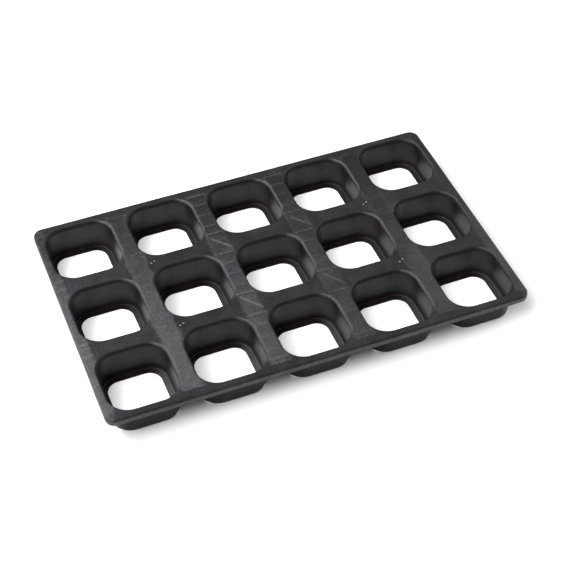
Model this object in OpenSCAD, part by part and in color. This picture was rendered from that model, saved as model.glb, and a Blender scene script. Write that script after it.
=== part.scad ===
// Fifteen-cell nursery carry tray: a one-piece moulded tray with open-bottomed
// pot cells hung from a flat deck, and a short skirt turned down round the deck.
// Origin: centre of the tray on the plane it stands on. X is the long side,
// Z is up, and the front is toward -Y.
// Deck, skirt and cells meet face to face on vertical cuts, so nothing overlaps
// and the wall runs through unbroken.

/* [Cell grid] */
// Distance between neighbouring cell centres along the length
pitch_x = 106; // [96:0.5:107.5]
// Distance between neighbouring cell centres across the width
pitch_y = 109.2; // [99:0.1:112]

/* [Cells] */
// Length of a cell mouth between its walls, just below the mouth rounding
mouth_x = 84.4; // [70:0.2:85]
// Width of a cell mouth between its walls, just below the mouth rounding
mouth_y = 86.8; // [74:0.2:88]
// Corner radius of the cell mouth
mouth_corner_r = 25.5; // [18:0.1:30]
// Rounding where the deck turns down into a cell
mouth_edge_r = 3.2; // [1.8:0.1:4]
// Draft of the cell wall from vertical, in degrees
cell_draft = 3; // [2.4:0.6:3]
// Inside rounding where the cell wall turns into the ledge
foot_r = 2.6; // [2:0.1:6]
// Distance from the mouth wall line in to the edge of the bottom hole
ledge_inset = 9.6; // [8:0.1:13]

/* [Deck and skirt] */
// Overall length of the tray
tray_x = 528.3; // [522.3:0.5:560.3]
// Overall width of the tray
tray_y = 325.9; // [320.9:0.5:350.9]
// Height of the deck above the plane the tray stands on
tray_h = 42.7; // [36.2:0.5:60.2]
// Outside corner radius of the tray
tray_corner_r = 11.9; // [10:0.1:16]
// Rounding where the deck turns down into the skirt
rim_edge_r = 3; // [2:0.1:4]
// Height of the skirt, measured from the top of the deck
skirt_h = 9; // [7:0.5:14]
// Outward lean of the skirt from vertical, in degrees
skirt_draft = 1.5; // [0:0.5:3]

/* [Moulding] */
// Wall thickness of the whole moulding
wall = 1.2; // [1:0.1:1.6]
// Diameter of one gate stub on the deck
gate_d = 2.2; // [1.2:0.1:3]
// Height of one gate stub above the deck
gate_h = 1.1; // [0.3:0.1:2]
// Length of one moulding mark on the deck
mark_l = 4.6; // [3:0.1:6]
// Height of one moulding mark above the deck
mark_h = 0.4; // [0.2:0.1:0.8]

/* [Hidden] */
$fn = 64;
cols = 5;
rows = 3;

deck_shade = "#3b3b3e";
cell_shade = "#2f2f31";
gate_shade = "#8a8a8c";
mark_shade = "#6c6c6e";

// Corner centres of a cell, shared by every level of its wall, and of the tray.
cell_corner_x = mouth_x / 2 - mouth_corner_r;
cell_corner_y = mouth_y / 2 - mouth_corner_r;
tray_corner_x = tray_x / 2 - tray_corner_r;
tray_corner_y = tray_y / 2 - tray_corner_r;

// Wall sections are [distance out from a corner centre, height].
// Cell section: tangent points lie on the wall face that looks into the cell.
cell_normal = [-cos(cell_draft), sin(cell_draft)]; // points into the cell
opening_r = mouth_corner_r + mouth_edge_r * cos(cell_draft);
hole_r = mouth_corner_r - ledge_inset;
mouth_centre = [opening_r, tray_h - mouth_edge_r];
mouth_tangent = mouth_centre + mouth_edge_r * cell_normal;
foot_outer_r = foot_r + wall;
foot_tangent_z = foot_outer_r - foot_r * cell_normal[1];
foot_tangent = [
    mouth_tangent[0] - tan(cell_draft) * (mouth_tangent[1] - foot_tangent_z),
    foot_tangent_z
];
foot_centre = foot_tangent + foot_r * cell_normal;

// Skirt section: the deck ends at rim_r, where the edge rounding starts.
skirt_normal = [cos(skirt_draft), sin(skirt_draft)]; // points out of the tray
rim_r = tray_corner_r - tan(skirt_draft) * (skirt_h - rim_edge_r) - rim_edge_r;
rim_centre = [rim_r, tray_h - rim_edge_r];
skirt_top = rim_centre + rim_edge_r * skirt_normal;
skirt_bottom_z = tray_h - skirt_h;
skirt_bottom = [
    skirt_top[0] + tan(skirt_draft) * (skirt_top[1] - skirt_bottom_z),
    skirt_bottom_z
];

// Gate stubs on each row rib: [x from the tray centre, y from the rib centreline], in pitches.
gate_places = [[-1.344, -0.009], [-1.3, 0.011], [1.328, -0.008], [1.373, 0.016]];
gate_tip_ratio = 0.6; // tip diameter over base diameter

mark_w = 2;
mark_y = -1.39 * pitch_x;
mark_offsets = [-4.2, 9.6]; // x from the column rib centreline

// Centre of a cell, counted from the left along a row and from the front row back.
function cell_at(r, c) = [(c - (cols + 1) / 2) * pitch_x, (r - (rows + 1) / 2) * pitch_y, 0];

// Runs a wall section round an oblong: four straight lengths and four corners.
module run_round(corner_x, corner_y) {
    for (quarter = [0:3]) {
        x = quarter % 2 == 0 ? corner_x : corner_y;
        y = quarter % 2 == 0 ? corner_y : corner_x;
        rotate([0, 0, 90 * quarter]) {
            translate([x, y, 0]) rotate([90, 0, 0]) linear_extrude(2 * y) children();
            translate([x, y, 0]) rotate_extrude(angle = 90) children();
        }
    }
}

// An upright block with rounded corners, given by its corner centres and corner radius.
module rounded_block(corner_x, corner_y, r, h) {
    translate([-corner_x, -corner_y, 0]) cube([2 * corner_x, 2 * corner_y, h]);
    run_round(corner_x, corner_y) square([r, h]);
}

// Section of a rounding: the part of a ring, one wall thick, inside a wedge.
// The wedge fans out from the centre through the given directions.
module bend(centre, outer_r, directions) {
    intersection() {
        difference() {
            translate(centre) circle(r = outer_r);
            translate(centre) circle(r = outer_r - wall);
        }
        polygon([centre, for (direction = directions) centre + 3 * outer_r * direction]);
    }
}

// Section of a cell: mouth rounding, drafted wall, foot rounding and ledge.
module cell_section() {
    bend(mouth_centre, mouth_edge_r, [[0, 1], [-1, 1], cell_normal]);
    polygon([
        mouth_tangent,
        foot_tangent,
        foot_tangent - wall * cell_normal,
        mouth_tangent - wall * cell_normal
    ]);
    bend(foot_centre, foot_outer_r, [-cell_normal, [1, -1], [0, -1]]);
    // ledge that the rim of a pot base stands on
    polygon([[hole_r, 0], [foot_centre[0], 0], [foot_centre[0], wall], [hole_r, wall]]);
}

// Section of the skirt: edge rounding and a short leaning wall, cut level at the bottom.
module skirt_section() {
    bend(rim_centre, rim_edge_r, [skirt_normal, [1, 1], [0, 1]]);
    polygon([
        skirt_top,
        skirt_top - wall * skirt_normal,
        skirt_bottom - [wall / cos(skirt_draft), 0],
        skirt_bottom
    ]);
}

// Flat web between the cells.
module deck() {
    color(deck_shade) difference() {
        translate([0, 0, tray_h - wall])
            rounded_block(tray_corner_x, tray_corner_y, rim_r, wall);
        for (r = [1:rows], c = [1:cols])
            translate(cell_at(r, c) + [0, 0, tray_h - 2 * wall])
                rounded_block(cell_corner_x, cell_corner_y, opening_r, 3 * wall);
    }
}

// Edge of the deck, turned down into a short skirt all round.
module rim_skirt() {
    color(deck_shade) run_round(tray_corner_x, tray_corner_y) skirt_section();
}

// One open-bottomed cell.
module cell(r, c) {
    color(cell_shade) translate(cell_at(r, c))
        run_round(cell_corner_x, cell_corner_y) cell_section();
}

// Pairs of gate stubs on both row ribs, just inboard of the outermost column ribs.
module gate_stubs() {
    color(gate_shade) for (side = [-1, 1], place = gate_places)
        translate([place[0] * pitch_x, (side / 2 + place[1]) * pitch_y, tray_h])
            cylinder(d1 = gate_d, d2 = gate_d * gate_tip_ratio, h = gate_h);
}

// Two small raised marks at the front end of every column rib.
module moulding_marks() {
    color(mark_shade) for (c = [1:cols - 1], offset_x = mark_offsets)
        translate([(c - cols / 2) * pitch_x + offset_x, mark_y, tray_h])
            linear_extrude(mark_h) square([mark_l, mark_w], center = true);
}

deck();
rim_skirt();
gate_stubs();
moulding_marks();
cell(1, 1);  // cell_r1c1
cell(1, 2);  // cell_r1c2
cell(1, 3);  // cell_r1c3
cell(1, 4);  // cell_r1c4
cell(1, 5);  // cell_r1c5
cell(2, 1);  // cell_r2c1
cell(2, 2);  // cell_r2c2
cell(2, 3);  // cell_r2c3
cell(2, 4);  // cell_r2c4
cell(2, 5);  // cell_r2c5
cell(3, 1);  // cell_r3c1
cell(3, 2);  // cell_r3c2
cell(3, 3);  // cell_r3c3
cell(3, 4);  // cell_r3c4
cell(3, 5);  // cell_r3c5
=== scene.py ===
"""A thin black plastic carry tray for plant pots: fifteen open cells, five along X by three along Y.

The tray is centred on the origin with its feet on z = 0. Its front is -Y and its left is -X.
Shapes are worked out in millimetres and turned into metres when a mesh is made. Materials,
lights and the camera are in metres.
"""

import math

import bmesh
import bpy
import numpy as np
from mathutils import Matrix, Vector


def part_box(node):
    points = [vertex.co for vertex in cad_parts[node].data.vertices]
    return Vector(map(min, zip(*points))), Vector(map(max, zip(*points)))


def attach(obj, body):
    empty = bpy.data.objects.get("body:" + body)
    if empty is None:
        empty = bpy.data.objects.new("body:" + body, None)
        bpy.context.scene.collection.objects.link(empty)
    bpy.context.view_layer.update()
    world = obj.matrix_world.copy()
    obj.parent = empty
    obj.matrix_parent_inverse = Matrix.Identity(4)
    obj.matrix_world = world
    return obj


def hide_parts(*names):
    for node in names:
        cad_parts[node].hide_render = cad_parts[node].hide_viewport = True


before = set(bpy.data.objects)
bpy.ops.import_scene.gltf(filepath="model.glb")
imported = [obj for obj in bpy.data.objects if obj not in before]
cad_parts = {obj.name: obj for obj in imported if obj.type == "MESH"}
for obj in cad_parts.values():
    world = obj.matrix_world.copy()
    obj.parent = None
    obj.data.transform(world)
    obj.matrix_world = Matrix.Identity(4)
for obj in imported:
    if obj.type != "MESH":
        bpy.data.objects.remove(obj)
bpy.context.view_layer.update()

# ---------------------------------------------------------------- sizes, in millimetres
MM = 1000.0                                  # millimetres in a metre
COLS, ROWS = 5, 3
deck_lo, deck_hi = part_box("deck")
rim_lo, rim_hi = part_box("rim_skirt")
cell_lo, cell_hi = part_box("cell_r2c3")       # the middle cell
left_lo, left_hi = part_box("cell_r2c2")       # its neighbour on the left
front_lo, front_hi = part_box("cell_r1c3")     # its neighbour in front
PITCH_X = ((cell_hi.x + cell_lo.x) - (left_hi.x + left_lo.x)) / 2 * MM
PITCH_Y = ((cell_hi.y + cell_lo.y) - (front_hi.y + front_lo.y)) / 2 * MM
TOP = deck_hi.z * MM                         # top of the deck
WALL = (deck_hi.z - deck_lo.z) * MM          # thickness of the moulding
HALF_X, HALF_Y = rim_hi.x * MM, rim_hi.y * MM

# cells
MOUTH_E = 3.2                                # radius of the mouth rounding
DRAFT = math.radians(3.0)
WALL_R = 25.5                                # corner radius just below the mouth rounding
R_DECK = WALL_R + MOUTH_E * math.cos(DRAFT)  # corner radius where a cell meets the deck
FOOT_IN, FOOT_R = 2.2, 2.6                   # foot roundings, for the inside and the outside
R_HOLE = 15.9                                # corner radius of the hole in the foot
CELL_CORNER = (cell_hi.x * MM - R_DECK, cell_hi.y * MM - R_DECK)  # a cell's corner centre

# outer rim and skirt
TRAY_R, RIM_E, SKIRT_DRAFT = 11.9, 3.0, math.radians(1.5)
SKIRT_H = (rim_hi.z - rim_lo.z) * MM
RIM_CORNER = (HALF_X - TRAY_R, HALF_Y - TRAY_R)
R_RIM = TRAY_R - math.tan(SKIRT_DRAFT) * (SKIRT_H - RIM_E) - RIM_E

# seams between the deck and its neighbours fall on level ground, this far from a rounding
COLLAR = 0.4
R_SEAM = R_DECK + COLLAR
RIM_SEAM = R_RIM - COLLAR

# ---------------------------------------------------------------- surface relief, in millimetres
STRIP = 40.6         # a column strip, running along Y, starts this far from a cell's centre
# sink grooves across the column strips: distance along Y from a cell's centre, depth
GROOVES = ((-34.8, 0.26), (-20.3, 0.19), (0.5, 0.16), (19.7, 0.19), (37.3, 0.26))
GROOVE_W = 2.4       # half width
# slanting grooves on the middle crossings of the back (1) and front (-1) row ribs:
# their two ends, from the crossing's centre
SLANTS = {1: ((-7.9, 11.5), (12.5, -11.0)), -1: ((-9.0, 15.0), (11.4, -9.5))}
SLANT_DEPTH, SLANT_W = 0.30, 1.7
# gate stubs: place along X in pitches, place across a row rib in pitches
STUBS = ((-1.344, 0.491), (-1.300, 0.511), (1.328, 0.492), (1.373, 0.516))
# centres of the dimples round the pairs of stubs, from the middle of a row rib
DIMPLES = [(px * PITCH_X, side * PITCH_Y / 2 + py * PITCH_Y)
           for side in (-1, 1) for px, py in ((-1.322, 0.001), (1.350, 0.004))]
DIMPLE_R, DIMPLE_DEPTH = 6.5, 0.24
# thin raised lines at the left ends of the row ribs: distance from a cell's centre, half width
LINE_X, LINE_W = 32.2, 0.8
LINE_HEIGHT = 0.12
FRONT_LINE = 12.6    # the broken line across each strip's front end, from the tray's front
FRONT_LINE_HEIGHT, FRONT_LINE_W = 0.24, 0.9
RIB_DROP = 0.07      # the row ribs lie this far below the column strips
CROSSING_SINK, CROSSING_SPREAD = 0.10, 9.0
# pale bands across the left rim: y, half width, strength
RIM_BANDS = (
    (65.0, 1.6, 0.55), (51.6, 1.5, 0.5), (25.0, 1.8, 0.6), (3.0, 1.4, 0.35),
    (-20.0, 1.6, 0.4), (-42.7, 1.6, 0.7), (-49.5, 1.4, 0.6), (-62.0, 1.8, 0.7),
    (-84.0, 1.5, 0.5), (-101.0, 2.0, 0.6), (-122.0, 1.5, 0.5), (98.0, 1.4, 0.3))


def smooth(value, start, end):
    """Rises smoothly from 0 at start to 1 at end."""
    t = np.clip((value - start) / (end - start), 0.0, 1.0)
    return t * t * (3 - 2 * t)


def wave(x, y, per_x, per_y, phase=0.0):
    return np.sin(x * per_x + y * per_y + phase)


def from_cell(value, pitch, count):
    """Signed distance from the nearest cell's centre."""
    return value - pitch * np.clip(np.round(value / pitch), -(count // 2), count // 2)


def dip(distance, half_width):
    """Cosine groove: 1 in the middle, 0 from half_width outwards."""
    return 0.5 * (1 + np.cos(math.pi * np.clip(np.abs(distance) / half_width, 0, 1)))


def rub(distance, half_width):
    """Like dip, with a smoothstep edge."""
    near = 1 - np.clip(np.abs(distance) / half_width, 0, 1)
    return near ** 2 * (3 - 2 * near)


def slant_grooves(x, y):
    """For each slanting groove: the signed distance across it, and its fade at both ends."""
    for side_y, ((ax, ay), (bx, by)) in SLANTS.items():
        for side_x in (-1, 1):
            run_x, run_y = bx - ax, by - ay
            length = math.hypot(run_x, run_y)
            dx = x - side_x * PITCH_X / 2 - ax
            dy = y - side_y * PITCH_Y / 2 - ay
            along = (dx * run_x + dy * run_y) / length
            across = (-dx * run_y + dy * run_x) / length
            yield across, smooth(along, -2.0, 2.0) * smooth(length - along, -2.0, 2.0)


def dashes(x):
    return np.sin(x * 1.15 + 0.7 * np.sin(x * 0.37))


def relief(points):
    """Offset of each point. One field moves every piece alike, so neighbours never part."""
    x, y, z = points.T
    cell_x, cell_y = from_cell(x, PITCH_X, COLS), from_cell(y, PITCH_Y, ROWS)
    off_x = np.abs(cell_x)
    top = smooth(z, start=TOP - 3.0, end=TOP - 0.6)
    # slow warp of a thin moulding
    dz = 0.22 * np.sin(x * 0.0115 + 0.6) * np.cos(y * 0.0137 - 0.4)
    dz += 0.10 * np.sin(x * 0.031 + 1.7) * np.sin(y * 0.027 + 0.9)
    # row ribs lie a little below the column strips
    inner = smooth(HALF_Y - 12.4 - np.abs(y), start=0.0, end=6.0)
    span = 1 - smooth(off_x, start=31.8, end=STRIP + 0.8)
    side = 1 - 0.8 * smooth(np.abs(x), start=205.0, end=225.0)
    dz -= RIB_DROP * span * inner * side * smooth(z, start=34.0, end=39.0)
    # the deck sinks slightly in the middle of each rib crossing
    dx = np.abs(off_x - PITCH_X / 2)
    dy = np.abs(np.abs(cell_y) - PITCH_Y / 2)
    dz -= CROSSING_SINK * np.exp(-(dx / CROSSING_SPREAD) ** 2 - (dy / CROSSING_SPREAD) ** 2)
    # grooves across the column strips, deeper on the two middle ones and at the left edge
    strip = smooth(off_x, start=STRIP - 2.5, end=STRIP + 2.0)
    strip = strip * smooth(HALF_X - RIM_E - np.abs(x) - 0.4, start=0.0, end=3.0)
    strip = strip * smooth(HALF_Y - 10.0 - np.abs(y), start=0.0, end=3.0)
    middle = 1 - smooth(np.abs(x), start=80.0, end=120.0)
    edge = smooth(np.abs(x), start=HALF_X - 14.0, end=HALF_X - 9.0)
    strength = 0.30 + 0.70 * middle + 0.45 * edge * smooth(-x, start=0.0, end=40.0)
    strength = strength * (0.85 + 0.15 * wave(x, y, 0.9, 0.13))
    for groove_y, depth in GROOVES:
        dz -= depth * strength * dip(cell_y - groove_y, GROOVE_W) * strip * top
    for across, ends in slant_grooves(x, y):
        dz -= SLANT_DEPTH * dip(across, SLANT_W) * ends * top
    # thin raised lines where each row rib meets the left rim
    rib = smooth(HALF_Y - 12.0 - np.abs(y), start=0.0, end=1.5)
    rib = rib * smooth(-x, start=222.0, end=232.0)
    dz += LINE_HEIGHT * np.clip(1 - np.abs(off_x - LINE_X) / LINE_W, 0, 1) * rib * top
    # shallow dimple round each pair of gate stubs
    for dimple_x, dimple_y in DIMPLES:
        d = np.hypot(x - dimple_x, y - dimple_y) / DIMPLE_R
        dz -= DIMPLE_DEPTH * np.clip(1 - d * d, 0, 1) ** 2 * top
    # broken raised line across the front end of each column strip
    d = (y + HALF_Y - FRONT_LINE) / FRONT_LINE_W
    broken = np.clip(0.45 + 0.55 * dashes(x), 0, 1)
    strip = smooth(off_x, start=STRIP - 1.0, end=STRIP + 1.0)
    within = smooth(200.0 - np.abs(x), start=0.0, end=20.0)
    dz += FRONT_LINE_HEIGHT * np.exp(-d * d) * broken * strip * within * top
    # slow, hand-sized unevenness of the deck skin
    dz += 0.035 * top * (wave(x, y, 0.43, 0.21, 0.4) * wave(x, y, -0.17, 0.37, 2.0)
                         + 0.7 * wave(x, y, 0.21, -0.62, 1.3) * wave(x, y, 0.33, 0.19, 0.9 - 0.9))
    offset = np.zeros_like(points)
    offset[:, 2] = dz * smooth(z, start=8.0, end=36.0)    # the feet stay flat on the floor
    # the walls wander by a hair between foot and mouth
    wall = smooth(z, start=2.0, end=9.0) * smooth(TOP - z, start=1.0, end=6.0)
    offset[:, 0] = 0.128 * wave(x, y, 0.071, 0.043, 0.5) * np.sin(z * 0.11 + 0.3) * wall
    offset[:, 1] = 0.12 * wave(x, y, -0.051, 0.067, 1.1) * wall
    return offset


def scuff_and_highlight(points):
    """How pale the deck is painted, 0 to 1: rubbed wear together with painted highlight along the
    light-catching high edges of the grooves, stronger towards the left.
    """
    x, y, z = points.T
    off_x, cell_y = np.abs(from_cell(x, PITCH_X, COLS)), from_cell(y, PITCH_Y, ROWS)
    strip = smooth(off_x, start=STRIP - 1.5, end=STRIP + 1.0)
    strip = strip * smooth(HALF_Y - 10.0 - np.abs(y), start=0.0, end=3.0)
    middle = 1 - smooth(np.abs(x), start=80.0, end=120.0)
    left = 1 - smooth(x, start=-60.0, end=60.0)
    patch = np.sin(x * 0.83 + 0.9 * np.sin(y * 0.31)) * wave(x, y, 0.19, 0.47, 1.0)
    patch = 0.55 + 0.45 * patch
    pale = np.zeros(len(points))
    for groove_y, _ in GROOVES:
        share = 1.0 if abs(groove_y) > 30 else 0.55
        pale = np.maximum(pale, rub(cell_y - groove_y - 1.0, 1.8) * strip
                          * (0.16 + 0.62 * middle) * (0.5 + 0.5 * left) * share * patch)
    for across, ends in slant_grooves(x, y):
        pale = np.maximum(pale, rub(across - 0.8, 2.1) * ends
                          * (0.45 + 0.55 * left) * (0.6 + 0.4 * patch))
    # the left rim is paler across in bands
    rim = smooth(-x, start=HALF_X - 16.0, end=HALF_X - 11.0)
    rim = rim * (1 - smooth(-x, start=HALF_X - 4.0, end=HALF_X - 2.2))
    for band_y, half_width, strength in RIM_BANDS:
        pale = np.maximum(pale, rub(y - band_y, half_width) * rim * strength)
    # front ends of the strips
    d = np.clip(np.abs(y + HALF_Y - FRONT_LINE) / 1.3, 0, 1)
    broken = np.clip(0.35 + 0.65 * dashes(x), 0, 1)
    strip = smooth(off_x, start=STRIP - 1.0, end=STRIP + 1.0)
    within = 1 - smooth(np.abs(x), start=180.0, end=200.0)
    pale = np.maximum(pale, (1 - d) * broken * 0.75 * strip * within * (0.55 + 0.45 * left))
    return pale * smooth(z, start=TOP - 1.2, end=TOP - 0.6)


# ---------------------------------------------------------------- sampling shared by all pieces
# where a cell's collar has turned 45 degrees round its corner
DIAGONAL = (CELL_CORNER[0] + R_SEAM * math.cos(math.pi / 4),
            CELL_CORNER[1] + R_SEAM * math.sin(math.pi / 4))
MIN_GAP = 0.28
FLAT_STEPS, ARC_STEPS = 6, 8


def side_samples(axis, features):
    """Samples along one side of a cell: the features, and an even base where there is room."""
    corner, limit = CELL_CORNER[axis], DIAGONAL[axis]
    flat = [corner * (2 * i / FLAT_STEPS - 1) for i in range(FLAT_STEPS + 1)]
    arcs = [corner + R_SEAM * math.sin(math.pi / 4 * (i + 1) / ARC_STEPS)
            for i in range(ARC_STEPS)]
    base = sorted([-a for a in arcs] + flat + arcs)
    values = sorted(set(round(v, 5) for v in features))
    for b in base:
        if all(abs(b - v) > MIN_GAP * 3 for v in values):
            values.append(round(b, 5))
    values = sorted(set(values + [round(base[0], 5), round(base[-1], 5)]))
    kept = [values[0]]
    for v in values[1:]:
        if v - kept[-1] > MIN_GAP * 0.5:
            kept.append(v)
    kept = [v for v in kept if -limit <= v <= limit]
    kept[0], kept[-1] = -limit, limit
    return kept


groove_lines = [y + GROOVE_W * q for y, _ in GROOVES for q in (-1, -0.67, -0.33, 0, 0.33, 0.67, 1)]
SAMPLES_Y = side_samples(1, [v for v in groove_lines if abs(v) < DIAGONAL[1] - 0.3])
SAMPLES_X = side_samples(0, [s * (LINE_X + d) for s in (-1, 1) for d in (-LINE_W, 0, LINE_W)])
# shares of the way from a cell's collar to the middle of the rib
RIB_STEPS = [i / 13 for i in range(14)]


def seam_point(axis, sign, t):
    """Base point and outward direction on a cell's rounded oblong.

    The side faces along axis (0 for X, 1 for Y) towards sign, and t runs along it.
    """
    reach = CELL_CORNER[1 - axis]
    angle = math.asin(min(1.0, max(0.0, abs(t) - reach) / R_SEAM))
    base = (sign * CELL_CORNER[axis], max(-reach, min(reach, t)))
    out = (sign * math.cos(angle), math.copysign(math.sin(angle), t))
    return (base, out) if axis == 0 else (base[::-1], out[::-1])


def cell_stations():
    """Once round a cell, anticlockwise from the front end of its right side."""
    return ([seam_point(0, 1, t) for t in SAMPLES_Y[:-1]]
            + [seam_point(1, 1, t) for t in SAMPLES_X[:0:-1]]
            + [seam_point(0, -1, t) for t in SAMPLES_Y[:0:-1]]
            + [seam_point(1, -1, t) for t in SAMPLES_X[:-1]])


# ---------------------------------------------------------------- sections and meshes
def arc(centre, radius, start, end, steps):
    """Points on an arc, angles in degrees."""
    angles = [math.radians(start + (end - start) * i / steps) for i in range(steps + 1)]
    return [(centre[0] + radius * math.cos(a), centre[1] + radius * math.sin(a)) for a in angles]


def between(a, b, steps):
    """The points that divide a straight run, without its ends."""
    return [(a[0] + (b[0] - a[0]) * i / steps, a[1] + (b[1] - a[1]) * i / steps)
            for i in range(1, steps)]


def cell_section():
    """Closed section of a cell's shell: distance out from the corner centre, height."""
    draft = math.degrees(DRAFT)
    normal = (-math.cos(DRAFT), math.sin(DRAFT))
    mouth = (R_DECK, TOP - MOUTH_E)
    wall_top = (mouth[0] + MOUTH_E * normal[0], mouth[1] + MOUTH_E * normal[1])

    def foot(radius):
        """Lower end of the drafted wall, and the centre of the foot rounding."""
        z = WALL + radius
        end = (wall_top[0] - math.tan(DRAFT) * (wall_top[1] - z + radius * normal[1]),
               z - radius * normal[1])
        return end, (end[0] + radius * normal[0], end[1] + radius * normal[1])

    inner_end, inner_centre = foot(FOOT_IN)
    outer_centre = foot(FOOT_R)[1]
    lip, under_lip = 0.16, 0.3               # roundings of the ledge's edge, above and below
    points = [(R_SEAM, TOP)]
    points += arc(mouth, MOUTH_E, 90, 180 - draft, 10)
    points += between(points[-1], inner_end, 12)
    points += arc(inner_centre, FOOT_IN, -draft, -90, 6)
    points += [(R_HOLE + lip + 1.2, WALL)]
    points += arc((R_HOLE + lip, WALL - lip), lip, 90, 180, 4)
    points += arc((R_HOLE + under_lip, under_lip), under_lip, 180, 270, 3)
    points += [(R_HOLE + under_lip + 1.0, 0.0)]
    points += arc(outer_centre, FOOT_R + WALL, -90, -draft, 9)
    under = arc(mouth, MOUTH_E - WALL, 180 - draft, 90, 3)
    points += between(points[-1], under[0], 12)
    points += under
    points += [(R_SEAM, TOP - WALL)]
    return points


def skirt_section():
    """Closed section of the rim and skirt: distance out from the corner centre, height."""
    draft = math.degrees(SKIRT_DRAFT)
    centre = (R_RIM, TOP - RIM_E)
    top_x = centre[0] + RIM_E * math.cos(SKIRT_DRAFT)
    top_z = centre[1] + RIM_E * math.sin(SKIRT_DRAFT)
    foot_z = TOP - SKIRT_H
    foot_x = top_x + math.tan(SKIRT_DRAFT) * (top_z - foot_z)
    edge = 0.4                               # rounding of the lower edge
    points = [(RIM_SEAM, TOP)]
    points += arc(centre, RIM_E, 90, draft, 11)
    points += between(points[-1], (foot_x - 0.01, foot_z + edge), 4)
    points += arc((foot_x - edge, foot_z + edge), edge, 0, -90, 4)
    points += arc((foot_x - WALL + edge, foot_z + edge), edge, -90, -180, 4)
    inner = arc(centre, RIM_E - WALL, draft, 90, 6)
    points += between(points[-1], inner[0], 4)
    points += inner
    points += [(RIM_SEAM, TOP - WALL)]
    return points


def sweep(stations, section, centre=(0.0, 0.0)):
    """A closed section run round closed stations."""
    n, m = len(stations), len(section)
    out, height = np.array(section).T
    rings = [np.stack([centre[0] + base[0] + out * way[0],
                       centre[1] + base[1] + out * way[1], height], 1)
             for base, way in stations]
    faces = []
    for i in range(n):
        j = (i + 1) % n
        for k in range(m):
            l = (k + 1) % m
            faces.append((i * m + k, j * m + k, j * m + l, i * m + l))
    return np.concatenate(rings), faces


def joined(parts):
    """Several (vertices, faces) parts as one."""
    faces, count = [], 0
    for part_verts, part_faces in parts:
        faces += [tuple(i + count for i in face) for face in part_faces]
        count += len(part_verts)
    return np.concatenate([part[0] for part in parts]), faces


def make_object(name, verts, faces, material):
    """Applies the relief, makes the mesh in metres and stores the attribute of rubbed wear and
    painted highlight.
    """
    mesh = bpy.data.meshes.new(name)
    mesh.from_pydata([tuple(v) for v in (verts + relief(verts)) / MM], [], faces)
    mesh.validate()
    mesh.update()
    bm = bmesh.new()
    bm.from_mesh(mesh)
    bmesh.ops.remove_doubles(bm, verts=bm.verts, dist=2e-7)
    bmesh.ops.recalc_face_normals(bm, faces=bm.faces)
    bm.to_mesh(mesh)
    bm.free()
    mesh.shade_smooth()
    mesh.set_sharp_from_angle(angle=math.radians(38.0))
    places = np.empty(len(mesh.vertices) * 3)
    mesh.vertices.foreach_get("co", places)
    attribute = mesh.attributes.new("scuff_and_highlight", "FLOAT", "POINT")
    attribute.data.foreach_set("value", scuff_and_highlight(places.reshape(-1, 3) * MM).astype(np.float32))
    ob = bpy.data.objects.new(name, mesh)
    bpy.context.scene.collection.objects.link(ob)
    mesh.materials.append(material)
    return ob


def register(ob, cad_piece):
    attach(ob, "root")
    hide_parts(cad_piece)


# ---------------------------------------------------------------- deck web
def rim_run(share, start, end, across):
    """A point on the rim seam from start to the middle of the rounded corner: along, across."""
    straight = end - RIM_SEAM - start
    run = share * (straight + RIM_SEAM * math.pi / 4)
    if run <= straight:
        return start + run, across
    angle = (run - straight) / RIM_SEAM
    return (end - RIM_SEAM + RIM_SEAM * math.sin(angle),
            across - RIM_SEAM + RIM_SEAM * math.cos(angle))


def corner_patch(x1, y1, rounded):
    """Grid from a cell's diagonal point out to (x1, y1), which may be the tray's corner."""
    x0, y0 = DIAGONAL
    if not rounded:
        return [[(x0 + u * (x1 - x0), y0 + v * (y1 - y0)) for v in RIB_STEPS] for u in RIB_STEPS]
    inset = RIM_SEAM * math.cos(math.pi / 4) - RIM_SEAM
    far = (x1 + inset, y1 + inset)
    grid = []
    for u in RIB_STEPS:
        row = []
        for v in RIB_STEPS:
            near_side, left_side = (x0 + u * (x1 - x0), y0), (x0, y0 + v * (y1 - y0))
            far_side = rim_run(u, x0, x1, y1)
            right_side = rim_run(v, y0, y1, x1)[::-1]
            row.append(tuple(
                (1 - v) * near_side[a] + v * far_side[a]
                + (1 - u) * left_side[a] + u * right_side[a]
                - ((1 - u) * (1 - v) * (x0, y0)[a] + u * (1 - v) * (x1, y0)[a]
                   + (1 - u) * v * (x0, y1)[a] + u * v * far[a]) for a in (0, 1)))
        grid.append(row)
    return grid


def side_grid(axis, sign, origin, reach):
    """Grid from one side of a cell's collar out to the middle of the rib, or to the rim."""
    grid = []
    for t in (SAMPLES_Y, SAMPLES_X)[axis]:
        base, out = seam_point(axis, sign, t)
        start = base[axis] + R_SEAM * out[axis]
        along = origin[1 - axis] + t
        row = [(origin[axis] + start + (sign * reach - start) * q, along) for q in RIB_STEPS]
        grid.append(row if axis == 0 else [point[::-1] for point in row])
    return grid


def cell_reach(number, count, origin, pitch, edge):
    """How far a cell's share of the deck goes from its centre, towards + and - of an axis."""
    return {1: edge - origin if number == count - 1 else pitch / 2,
            -1: edge + origin if number == 0 else pitch / 2}


def deck_grids():
    for r in range(ROWS):
        for c in range(COLS):
            ox, oy = (c - COLS // 2) * PITCH_X, (r - ROWS // 2) * PITCH_Y
            reach = (cell_reach(c, COLS, ox, PITCH_X, RIM_CORNER[0] + RIM_SEAM),
                     cell_reach(r, ROWS, oy, PITCH_Y, RIM_CORNER[1] + RIM_SEAM))
            for sign in (1, -1):
                for axis in (0, 1):
                    yield side_grid(axis, sign, (ox, oy), reach[axis][sign])
            for sx in (1, -1):
                for sy in (1, -1):
                    rounded = (c == (COLS - 1 if sx > 0 else 0)
                               and r == (ROWS - 1 if sy > 0 else 0))
                    patch = corner_patch(reach[0][sx], reach[1][sy], rounded)
                    yield [[(ox + sx * x, oy + sy * y) for x, y in row] for row in patch]


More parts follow.
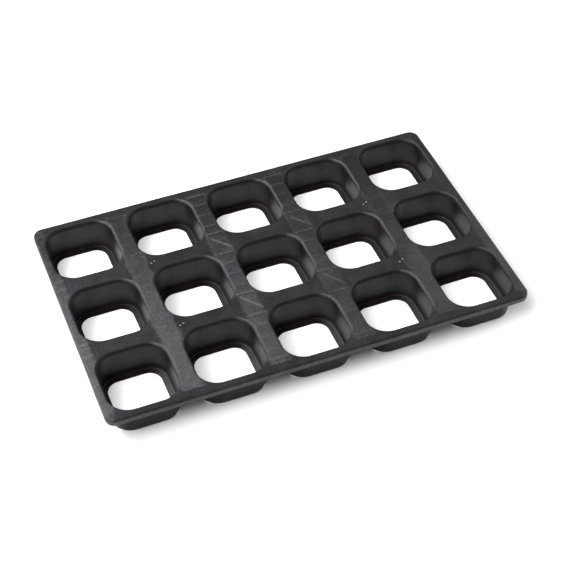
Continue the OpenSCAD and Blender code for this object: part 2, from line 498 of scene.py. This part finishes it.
def deck_mesh():
    """The closed plate between the cells, and the points of its outer edge."""
    index, points, faces = {}, [], []

    def point_id(x, y):
        key = (round(x, 4), round(y, 4))
        if key not in index:
            index[key] = len(points)
            points.append((x, y))
        return index[key]

    for grid in deck_grids():
        for i in range(len(grid) - 1):
            for j in range(len(grid[0]) - 1):
                corners = (grid[i][j], grid[i + 1][j], grid[i + 1][j + 1], grid[i][j + 1])
                quad = [point_id(*p) for p in corners]
                loop = [points[q] for q in quad]
                turn = sum(a[0] * b[1] - b[0] * a[1] for a, b in zip(loop, loop[1:] + loop[:1]))
                faces.append(tuple(quad) if turn > 0 else tuple(reversed(quad)))
    # top, underside and the strips along the boundary close the plate
    edges = dict.fromkeys((f[k], f[(k + 1) % 4]) for f in faces for k in range(4))
    boundary = [(a, b) for a, b in edges if (b, a) not in edges]
    n = len(points)
    verts = np.array([(x, y, z) for z in (TOP, TOP - WALL) for x, y in points])
    closed = faces + [tuple(reversed([i + n for i in f])) for f in faces]
    closed += [(a, a + n, b + n, b) for a, b in boundary]
    beyond_x = (COLS // 2) * PITCH_X + CELL_CORNER[0] + R_SEAM + 0.5
    beyond_y = (ROWS // 2) * PITCH_Y + CELL_CORNER[1] + R_SEAM + 0.5
    outer = [points[a] for a, _ in boundary
             if abs(points[a][0]) > beyond_x or abs(points[a][1]) > beyond_y]
    return verts, closed, outer


def rim_stations(outer):
    """Base points and outward directions round the rim, at the deck's outer points."""
    stations = []
    for point in outer:
        base = [max(-c, min(c, p)) for p, c in zip(point, RIM_CORNER)]
        dx, dy = point[0] - base[0], point[1] - base[1]
        d = math.hypot(dx, dy)
        stations.append((base, (dx / d, dy / d)))
    stations.sort(key=lambda s: math.atan2((s[0][1] + RIM_SEAM * s[1][1]) / HALF_Y,
                                           (s[0][0] + RIM_SEAM * s[1][0]) / HALF_X))
    return stations


# ---------------------------------------------------------------- small raised pieces
# gate stub profile: radius, height above the deck; the last point is the tip
STUB_PROFILE = ((1.3, -0.35), (1.3, 0.02), (1.2, 0.22), (1.14, 0.55),
                (1.08, 0.85), (0.9, 1.03), (0.5, 1.09), (0.0, 1.02))
STUB_SIDES, STUB_WOBBLE = 20, 0.12


def gate_stub(centre_x, centre_y, phase):
    """A turned stub, a little out of round towards its tip."""
    n, m = STUB_SIDES, len(STUB_PROFILE) - 1
    verts, faces = [], []
    for i in range(n):
        a = 2 * math.pi * i / n
        for j, (radius, height) in enumerate(STUB_PROFILE[:-1]):
            w = 1 + STUB_WOBBLE * math.sin(3 * a + phase) * (j / len(STUB_PROFILE))
            verts.append((centre_x + radius * w * math.cos(a),
                          centre_y + radius * w * math.sin(a), TOP + height))
    verts.append((centre_x, centre_y, TOP + STUB_PROFILE[-1][1]))
    for i in range(n):
        k = (i + 1) % n
        for j in range(m - 1):
            faces.append((i * m + j, k * m + j, k * m + j + 1, i * m + j + 1))
        faces.append((i * m + m - 1, k * m + m - 1, n * m))
    faces.append(tuple(reversed([i * m for i in range(n)])))
    return np.array(verts), faces


PAD_X, PAD_Y, PAD_H, PAD_R = 4.6, 2.0, 0.38, 0.8    # length, width, height, corner radius
PAD_ARC_STEPS = 5
PAD_PLACES = (-4.2, 9.6)                            # along X from a column strip's middle
PAD_ROW_Y = -1.39 * PITCH_X
# outline offset, height above the deck
PAD_LEVELS = ((0.12, -0.3), (0.12, 0.0), (0.0, PAD_H * 0.6), (-0.16, PAD_H * 0.92),
              (-0.4, PAD_H))


def mark_pad(centre_x, centre_y):
    """A low raised pad with rounded corners and a rounded top edge."""
    ring = []
    for q, (sx, sy) in enumerate(((1, 1), (-1, 1), (-1, -1), (1, -1))):
        for i in range(PAD_ARC_STEPS + 1):
            a = math.pi / 2 * (q + i / PAD_ARC_STEPS)
            ring.append((sx * (PAD_X / 2 - PAD_R), sy * (PAD_Y / 2 - PAD_R),
                         math.cos(a), math.sin(a)))
    m, last = len(ring), len(PAD_LEVELS) - 1
    verts = [(centre_x + x + (PAD_R + grow) * dx, centre_y + y + (PAD_R + grow) * dy, TOP + z)
             for grow, z in PAD_LEVELS for x, y, dx, dy in ring]
    faces = []
    for k in range(last):
        for i in range(m):
            j = (i + 1) % m
            faces.append((k * m + i, k * m + j, (k + 1) * m + j, (k + 1) * m + i))
    faces.append(tuple(reversed(range(m))))
    faces.append(tuple(last * m + i for i in range(m)))
    return np.array(verts), faces


# ---------------------------------------------------------------- shader helpers
class Signal:
    """A shader output; arithmetic on it adds math nodes to its tree."""

    def __init__(self, tree, socket):
        self.tree = tree
        self.socket = socket

    def __add__(self, other):
        return math_node("ADD", self, other)

    def __radd__(self, other):
        return math_node("ADD", other, self)

    def __sub__(self, other):
        return math_node("SUBTRACT", self, other)

    def __rsub__(self, other):
        return math_node("SUBTRACT", other, self)

    def __mul__(self, other):
        return math_node("MULTIPLY", self, other)

    def __truediv__(self, other):
        return math_node("DIVIDE", self, other)

    def __abs__(self):
        return math_node("ABSOLUTE", self)


def feed(node, inputs):
    """Links or sets a node's inputs."""
    for key, value in inputs.items():
        if isinstance(value, Signal):
            value.tree.links.new(value.socket, node.inputs[key])
        else:
            node.inputs[key].default_value = value


def source(tree, kind, output, **settings):
    node = tree.nodes.new(kind)
    for name, value in settings.items():
        setattr(node, name, value)
    return Signal(tree, node.outputs[output])


def add_node(kind, output, inputs, **settings):
    """A fed node, in the tree of the signals among its inputs."""
    tree = next(v.tree for v in inputs.values() if isinstance(v, Signal))
    result = source(tree, kind, output, **settings)
    feed(result.socket.node, inputs)
    return result


def math_node(operation, *values, clamp=False):
    return add_node("ShaderNodeMath", 0, dict(enumerate(values)),
                    operation=operation, use_clamp=clamp)


def vector_math(operation, output, first, second):
    return add_node("ShaderNodeVectorMath", output, {0: first, 1: second}, operation=operation)


def ramp(value, start, end, low=0.0, high=1.0):
    """Goes smoothly from low at start to high at end."""
    return add_node("ShaderNodeMapRange", "Result",
                    {"Value": value, "From Min": start, "From Max": end,
                     "To Min": low, "To Max": high},
                    interpolation_type="SMOOTHSTEP", clamp=True)


def noise(place, scale, detail, rough, stretch=None):
    if stretch is not None:
        place = add_node("ShaderNodeMapping", "Vector", {"Vector": place, "Scale": stretch})
    return add_node("ShaderNodeTexNoise", "Fac", {"Vector": place, "Scale": scale,
                                                  "Detail": detail, "Roughness": rough})


def mix(share, first, second):
    return add_node("ShaderNodeMix", 2, {0: share, 6: first, 7: second}, data_type="RGBA")


def layered(colour, layers):
    """Lays (share, RGB) layers over a colour, in turn."""
    for share, rgb in layers:
        colour = mix(share, colour, (*rgb, 1))
    return colour


def bump(height, strength, distance, normal=None):
    inputs = {"Height": height, "Strength": strength, "Distance": distance}
    if normal is not None:
        inputs["Normal"] = normal
    return add_node("ShaderNodeBump", "Normal", inputs)


def new_material(name):
    """A material with its principled shader, and its object coordinates, whole and by axis."""
    material = bpy.data.materials.new(name)
    material.use_nodes = True
    tree = material.node_tree
    tree.nodes.clear()
    out = tree.nodes.new("ShaderNodeOutputMaterial")
    bsdf = tree.nodes.new("ShaderNodeBsdfPrincipled")
    tree.links.new(bsdf.outputs["BSDF"], out.inputs["Surface"])
    place = source(tree, "ShaderNodeTexCoord", "Object")
    x = add_node("ShaderNodeSeparateXYZ", 0, {0: place})
    y, z = (Signal(tree, socket) for socket in x.socket.node.outputs[1:])
    return material, bsdf, place, x, y, z


def off_centre(distance, pitch, count):
    """Distance from the nearest cell's centre, from the distance to the tray's middle."""
    number = math_node("MINIMUM", math_node("ROUND", distance / (pitch / MM)), count // 2)
    return abs(distance - number * (pitch / MM))


# ---------------------------------------------------------------- materials, in metres
DARK = (0.0065, 0.0065, 0.0070, 1.0)
DARK2 = (0.0165, 0.0163, 0.0175, 1.0)


def deck_regions(place, x, y):
    """1 on the column strips and the side rims, 0 on the row ribs and the front and back rims."""
    abs_x, abs_y = abs(x), abs(y)
    wobble = (noise(place, scale=85.0, detail=5.0, rough=0.62) - 0.5) * 0.016
    strip = ramp(off_centre(abs_x, PITCH_X, COLS) + wobble,
                 start=(STRIP - 4.5) / MM, end=(STRIP + 4.0) / MM)
    from_side = HALF_X / MM - abs_x
    from_end = HALF_Y / MM - abs_y
    end_rim = ramp(from_end + wobble * 0.5, start=0.0140, end=0.0108)
    side_rim = ramp(from_side + wobble * 0.5, start=0.0145, end=0.0105)
    mitre = ramp((from_end - from_side) + wobble * 1.6, start=-0.0085, end=0.0085)
    return math_node("MAXIMUM", strip * (1.0 - end_rim),
                     side_rim * math_node("MAXIMUM", mitre, 1.0 - end_rim), clamp=True)


def deck_colour(place, x, y, z, strips, cloud):
    """Black plastic with faint clouding, rubbed paler in places, and dust, with painted light:
    painted sheen towards the front, painted shade on the back strips, and painted highlights on the
    groove edges, the left-hand strips and the skirt.
    """
    fine = noise(place, scale=900.0, detail=3.0, rough=0.6)
    # painted sheen: the strips paler towards the front left and front right; painted shade: the back
    # strips darker
    front_left_sheen = ramp(x, start=0.06, end=-0.12) * ramp(y, start=0.05, end=-0.12)
    front_right_sheen = ramp(x, start=0.08, end=0.22) * ramp(y, start=0.03, end=-0.08) * strips
    back = ramp(y, start=0.02, end=0.13) * strips
    # rubbed wear together with painted highlight along the groove edges
    worn_and_highlight = (source(place.tree, "ShaderNodeAttribute", "Fac", attribute_name="scuff_and_highlight")
            * ramp(noise(place, scale=420.0, detail=3.0, rough=0.6),
                   start=0.30, end=0.62, low=0.45, high=1.0))
    # painted sheen in blotches on the left-hand strips, where the light falls
    blotchy_sheen = noise(place, scale=210.0, detail=6.0, rough=0.72, stretch=(1.3, 0.8, 1.0))
    blotchy_sheen = ramp(blotchy_sheen, start=0.47, end=0.66) * (
        ramp(x, start=0.02, end=-0.20) * ramp(y, start=0.12, end=0.0) * strips)
    # painted reflection of the pale floor, patchy, on the front of the skirt below its rounding
    skirt = (ramp(z, start=(TOP - 3.0) / MM, end=(TOP - 3.8) / MM)
             * ramp(y, start=-0.150, end=-0.158))
    skirt_reflection = ramp(noise(place, scale=150.0, detail=4.0, rough=0.65),
                     start=0.30, end=0.62, low=0.02, high=0.12)
    return layered(mix(ramp(cloud, start=0.35, end=0.7), DARK, DARK2), (
        (front_left_sheen * strips * 0.13, (0.128, 0.127, 0.148)),
        ((1.0 - strips) * 0.025, (0.10, 0.10, 0.102)),
        (front_right_sheen * 0.10, (0.13, 0.13, 0.136)),
        (back * 0.75, (0.002, 0.002, 0.002)),
        (worn_and_highlight, (0.098, 0.098, 0.102)),
        (blotchy_sheen * 0.28, (0.118, 0.117, 0.138)),
        (skirt * skirt_reflection, (0.11, 0.11, 0.113)),
        (ramp(fine, start=0.56, end=0.74) * 0.05, (0.08, 0.08, 0.084))))


def deck_specular(place, x, y, z, strips):
    """Grain: the skin catches the light unevenly from one pebble to the next."""
    pebbles = ramp(noise(place, scale=400.0, detail=5.0, rough=0.72), start=0.36, end=0.64)
    pebbles = (pebbles - 0.5) * (0.24 + strips * -0.06)
    lines = noise(place, scale=120.0, detail=5.0, rough=0.7, stretch=(7.0, 1.0, 1.0))
    lines = (ramp(lines, start=0.38, end=0.62) - 0.5) * (strips * 0.12)
    bars = noise(place, scale=120.0, detail=5.0, rough=0.7, stretch=(0.8, 5.0, 1.0))
    bars = (ramp(bars, start=0.40, end=0.62) - 0.5) * (strips * 0.13)
    # painted shade: the strips at the back left reflect less
    back_left_shade = ramp(x, start=-0.12, end=-0.24) * ramp(y, start=0.02, end=0.11)
    rounding = (ramp(z, start=(TOP - 3.4) / MM, end=(TOP - 2.7) / MM)
                * ramp(z, start=(TOP - 0.4) / MM, end=(TOP - 1.0) / MM))
    specular = (0.48 + pebbles) + (lines + bars)
    specular = specular - back_left_shade * (strips * 0.09)
    return specular - rounding * ramp(y, start=-0.150, end=-0.158) * 0.20


def deck_material():
    material, bsdf, place, x, y, z = new_material("deck_plastic")
    strips = deck_regions(place, x, y)
    cloud = noise(place, scale=38.0, detail=5.0, rough=0.6)
    # tool marks run along each strip and rib
    streak_y = noise(place, scale=60.0, detail=4.0, rough=0.6, stretch=(22.0, 1.2, 1.0))
    streak_x = noise(place, scale=60.0, detail=4.0, rough=0.6, stretch=(1.2, 22.0, 1.0))
    streak = streak_y * strips + streak_x * (1.0 - strips)
    wear = noise(place, scale=95.0, detail=5.0, rough=0.62, stretch=(1.3, 0.8, 1.0))
    rough = 0.40 + (streak - 0.5) * 0.26
    rough = rough + strips * 0.02
    rough = rough + (wear - 0.5) * 0.34
    # mottled skin, tool marks, fine cross lines on the column strips, grain
    mottle = noise(place, scale=130.0, detail=5.0, rough=0.62, stretch=(1.4, 0.9, 1.0))
    line_spacing = 0.0038 / 2                # the sine has two crests to a period once folded
    cross = math_node("SINE", y * (math.pi / line_spacing))
    cross = math_node("POWER", abs(cross), 6.0)
    cross = cross * strips * noise(place, scale=45.0, detail=3.0, rough=0.6)
    normal = bump(mottle * (0.6 + strips * 0.4), strength=1.0, distance=0.0007)
    normal = bump(streak, strength=0.5, distance=0.00012, normal=normal)
    normal = bump(cross, strength=0.35, distance=0.0001, normal=normal)
    normal = bump(noise(place, scale=480.0, detail=5.0, rough=0.7),
                  strength=1.0, distance=0.00024, normal=normal)
    feed(bsdf, {
        "Tangent": add_node("ShaderNodeCombineXYZ", 0, {0: strips, 1: 1.0 - strips}),
        "Anisotropic": 0.72 + strips * 0.16,
        "Base Color": deck_colour(place, x, y, z, strips, cloud),
        "Roughness": math_node("ADD", rough, (cloud - 0.5) * 0.16, clamp=True),
        "IOR": 1.5,
        "Specular IOR Level": deck_specular(place, x, y, z, strips),
        "Normal": normal})
    return material


def cell_material():
    material, bsdf, place, x, y, z = new_material("cell_plastic")
    # signed distance from the cell's centre
    cell_x = x - math_node("ROUND", x / (PITCH_X / MM)) * (PITCH_X / MM)
    cell_y = y - math_node("ROUND", y / (PITCH_Y / MM)) * (PITCH_Y / MM)
    cloud = noise(place, scale=30.0, detail=5.0, rough=0.6)
    low_scuff = ramp(z, start=0.012, end=0.0) * ramp(
        noise(place, scale=160.0, detail=5.0, rough=0.65), start=0.52, end=0.72)
    # painted highlight on the right-hand edge of each mouth, patchy, weaker towards the tray's right
    mouth = ramp(z, start=(TOP - 4.6) / MM, end=(TOP - 2.2) / MM) * (
        ramp(cell_x, start=0.026, end=0.036) * ramp(cell_y, start=-0.040, end=-0.022))
    mouth = mouth * ramp(noise(place, scale=260.0, detail=4.0, rough=0.65),
                         start=0.30, end=0.60, low=0.22, high=0.50)
    mouth = mouth * ramp(x, start=0.230, end=0.245, low=1.0, high=0.45)
    # painted light on the right-hand side of each ledge, most of all in the front row and towards
    # the left
    ledge_highlight = ramp(z, start=0.0050, end=0.0025) * (
        ramp(cell_x, start=0.022, end=0.032) * ramp(cell_y, start=0.036, end=0.022))
    ledge_highlight = ledge_highlight * (ramp(y, start=0.08, end=-0.13, low=0.02, high=0.42)
                     * ramp(x, start=-0.22, end=0.25, low=1.0, high=0.35))
    dark = mix(ramp(cloud, start=0.35, end=0.7),
               (0.0066, 0.0056, 0.0060, 1), (0.0092, 0.0080, 0.0086, 1))
    colour = layered(dark, ((low_scuff * 0.08, (0.085, 0.083, 0.080)),
                            (mouth, (0.11, 0.11, 0.114)),
                            (ledge_highlight, (0.115, 0.115, 0.12))))
    # drag marks run down the walls; the ledge is dull, most of all on its right-hand side
    drag = noise(place, scale=70.0, detail=4.0, rough=0.6, stretch=(16.0, 16.0, 0.5))
    foot = ramp(z, start=0.0075, end=0.0030)
    rough = 0.31 + (drag - 0.5) * 0.05
    rough = rough + foot * ramp(cell_x, start=0.016, end=0.032, low=0.04, high=0.27)
    # the mouth rounding keeps the deck's duller skin
    rough = rough + ramp(z, start=(TOP - 8.0) / MM, end=(TOP - 3.0) / MM, low=0.0, high=0.30)
    # painted shade: the back of the foot and the low back wall reflect less
    back_foot_shade = foot * (ramp(cell_y, start=0.028, end=0.036) * ramp(cell_x, start=0.036, end=0.026))
    back_wall_shade = ramp(z, start=0.024, end=0.009) * (
        ramp(cell_y, start=0.026, end=0.036) * ramp(cell_x, start=0.038, end=0.028))
    front_wall = ramp(cell_y, start=-0.032, end=-0.040) * ramp(z, start=0.037, end=0.032)
    specular = 0.5 - back_wall_shade * ramp(y, start=-0.14, end=0.14, low=0.20, high=0.11)
    specular = specular - front_wall * 0.24
    # the tangent runs level round the walls, with a slight lean so it is never zero
    surface = source(place.tree, "ShaderNodeNewGeometry", "Normal")
    level = vector_math("CROSS_PRODUCT", "Vector", (0.0, 0.0, 1.0), surface)
    normal = bump(drag, strength=0.35, distance=0.00003)
    normal = bump(noise(place, scale=1400.0, detail=3.0, rough=0.6),
                  strength=0.4, distance=0.00008, normal=normal)
    feed(bsdf, {
        "Base Color": colour,
        "Specular IOR Level": math_node("MINIMUM", specular, 0.5 - back_foot_shade * 0.30),
        "Roughness": math_node("ADD", rough, (cloud - 0.5) * 0.10, clamp=True),
        "IOR": 1.38,
        "Tangent": vector_math("ADD", "Vector", level, (0.001, 0.0, 0.0)),
        "Anisotropic": (ramp(z, start=0.004, end=0.009, low=0.0, high=0.75)
                        * ramp(z, start=(TOP - 2.0) / MM, end=(TOP - 5.0) / MM)),
        "Normal": normal})
    return material


def stub_material():
    material, bsdf, place, _, _, z = new_material("gate_stub_plastic")
    grain = noise(place, scale=2600.0, detail=4.0, rough=0.65)
    tip = ramp(z, start=(TOP + 0.1) / MM, end=(TOP + 0.5) / MM)
    pale = tip * ramp(grain, start=0.3, end=0.7, low=0.6, high=1.0)
    feed(bsdf, {
        "Base Color": mix(pale, DARK2, (0.22, 0.22, 0.23, 1)),
        "Roughness": ramp(grain, start=0.3, end=0.7, low=0.35, high=0.6),
        "Normal": bump(grain, strength=0.8, distance=0.0003)})
    return material


def floor_material():
    """White paper; under the holes it glows for the camera only, painted light that lifts the tray's
    shadow where the floor is seen through the feet.
    """
    material, bsdf, _, x, y, _ = new_material("floor_paper")
    camera_ray = source(x.tree, "ShaderNodeLightPath", "Is Camera Ray")
    under_hole_glow = (ramp(off_centre(abs(x), PITCH_X, COLS), start=0.0385, end=0.0345)
             * ramp(off_centre(abs(y), PITCH_Y, ROWS), start=0.0385, end=0.0345))
    feed(bsdf, {
        "Base Color": mix(camera_ray, (0.9, 0.9, 0.9, 1), (1.0, 1.0, 1.0, 1)),
        "Roughness": 0.9,
        "Specular IOR Level": 0.1,
        "Emission Color": (1, 1, 1, 1),
        "Emission Strength": under_hole_glow * camera_ray * 0.24})
    return material


# ---------------------------------------------------------------- build the pieces
def build_tray():
    deck_plastic, cell_plastic, stub_plastic = deck_material(), cell_material(), stub_material()

    verts, faces, outer = deck_mesh()
    deck = make_object("deck_web", verts, faces, deck_plastic)
    register(deck, "deck")
    rim = make_object("rim_skirt_shell", *sweep(rim_stations(outer), skirt_section()),
                      deck_plastic)
    register(rim, "rim_skirt")

    stations, section = cell_stations(), cell_section()
    for r in range(ROWS):
        for c in range(COLS):
            centre = ((c - COLS // 2) * PITCH_X, (r - ROWS // 2) * PITCH_Y)
            cell = make_object(f"cell_wall_r{r + 1}c{c + 1}",
                               *sweep(stations, section, centre), cell_plastic)
            cell.data.materials.append(deck_plastic)
            # the collar and the start of the mouth rounding carry the deck's surface
            for face in cell.data.polygons:
                if face.center.z * MM > TOP - 0.25:
                    face.material_index = 1
            register(cell, f"cell_r{r + 1}c{c + 1}")

    parts = [gate_stub(px * PITCH_X, side * PITCH_Y / 2 + (py - 0.5) * PITCH_Y, i + 3 * side)
             for side in (-1, 1) for i, (px, py) in enumerate(STUBS)]
    stubs = make_object("gate_stub_pairs", *joined(parts), stub_plastic)
    register(stubs, "gate_stubs")

    parts = [mark_pad((c - COLS / 2) * PITCH_X + px, PAD_ROW_Y)
             for c in range(1, COLS) for px in PAD_PLACES]
    marks = make_object("moulding_mark_pads", *joined(parts), deck_plastic)
    register(marks, "moulding_marks")


# ---------------------------------------------------------------- stage, light, camera
# soft lights in the sky: direction, tightness, strength
SKY = (
    ((-0.6, -0.25, 0.76), 25.0, 12.48),
    ((-0.35, 0.2, 0.9), 30.0, 4.49),
    ((-0.65, 0.1, 0.75), 30.0, 0.48),
    ((0.95, 0.0, 0.3), 6.0, 1.92),
    ((0.65, 0.0, 0.75), 8.0, 1.04),
    ((0.6, 0.75, 0.3), 8.0, 0.33),
    ((0.0, 1.0, 0.12), 4.0, 0.31),
)


def build_world():
    world = bpy.data.worlds.new("studio")
    world.use_nodes = True
    tree = world.node_tree
    toward = source(tree, "ShaderNodeTexCoord", "Generated")
    terms = []
    for direction, tightness, strength in SKY:
        facing = vector_math("DOT_PRODUCT", "Value", toward, Vector(direction).normalized())
        facing = math_node("MAXIMUM", facing, 0.0)
        terms.append(math_node("POWER", facing, tightness) * strength)
    # the camera sees plain white behind the floor
    camera_ray = source(tree, "ShaderNodeLightPath", "Is Camera Ray")
    feed(tree.nodes["Background"], {
        "Color": (1.0, 1.0, 1.0, 1.0),
        "Strength": math_node("MAXIMUM", sum(terms[1:], terms[0]), camera_ray)})
    bpy.context.scene.world = world


def build_floor():
    grid = bmesh.new()
    bmesh.ops.create_grid(grid, x_segments=8, y_segments=8, size=6.0)
    mesh = bpy.data.meshes.new("floor")
    grid.to_mesh(mesh)
    grid.free()
    floor = bpy.data.objects.new("floor", mesh)
    floor.location = (0, 0, -0.0002)         # just below the feet
    bpy.context.scene.collection.objects.link(floor)
    mesh.materials.append(floor_material())


def add_lamp(name, direction, distance, size, power):
    """A square area light aimed at the middle of the tray."""
    aim = Vector((0.0, 0.0, 0.04))
    light = bpy.data.lights.new(name, "AREA")
    light.shape = "RECTANGLE"
    light.size = size
    light.size_y = size
    light.energy = power
    lamp = bpy.data.objects.new(name, light)
    lamp.location = aim + Vector(direction).normalized() * distance
    lamp.rotation_euler = (aim - lamp.location).to_track_quat("-Z", "Y").to_euler()
    bpy.context.scene.collection.objects.link(lamp)


def build_camera():
    azimuth, elevation, roll = -0.3797, 0.8117, 0.0017    # radians
    distance = 1.71403
    target = Vector((-5.452, -32.018, TOP - 1.75)) / MM
    back = Vector((math.sin(azimuth) * math.cos(elevation),
                   -math.cos(azimuth) * math.cos(elevation), math.sin(elevation)))
    level_right = (-back).cross(Vector((0, 0, 1))).normalized()
    level_up = level_right.cross(-back)
    right = math.cos(roll) * level_right + math.sin(roll) * level_up
    up = -math.sin(roll) * level_right + math.cos(roll) * level_up
    lens = bpy.data.cameras.new("camera")
    lens.sensor_width = 36.0
    lens.lens = 90.767318
    lens.shift_x = -0.00015985790
    lens.shift_y = 0.00053285968
    lens.clip_start = 0.01
    camera = bpy.data.objects.new("camera", lens)
    rows = [(right[i], up[i], back[i], 0) for i in range(3)]
    camera.matrix_world = Matrix((*rows, (0, 0, 0, 1)))
    camera.matrix_world.translation = target + back * distance
    bpy.context.scene.collection.objects.link(camera)
    bpy.context.scene.camera = camera


build_tray()
view = bpy.context.scene.view_settings
view.view_transform = "Standard"
view.look = "None"
build_world()
build_floor()
add_lamp("top", direction=(-0.376, 0.55, 0.75), distance=1.5, size=0.8, power=1.918)
add_lamp("key", direction=(-0.6, 0.5, 0.6), distance=0.9, size=0.4, power=4.648)
build_camera()
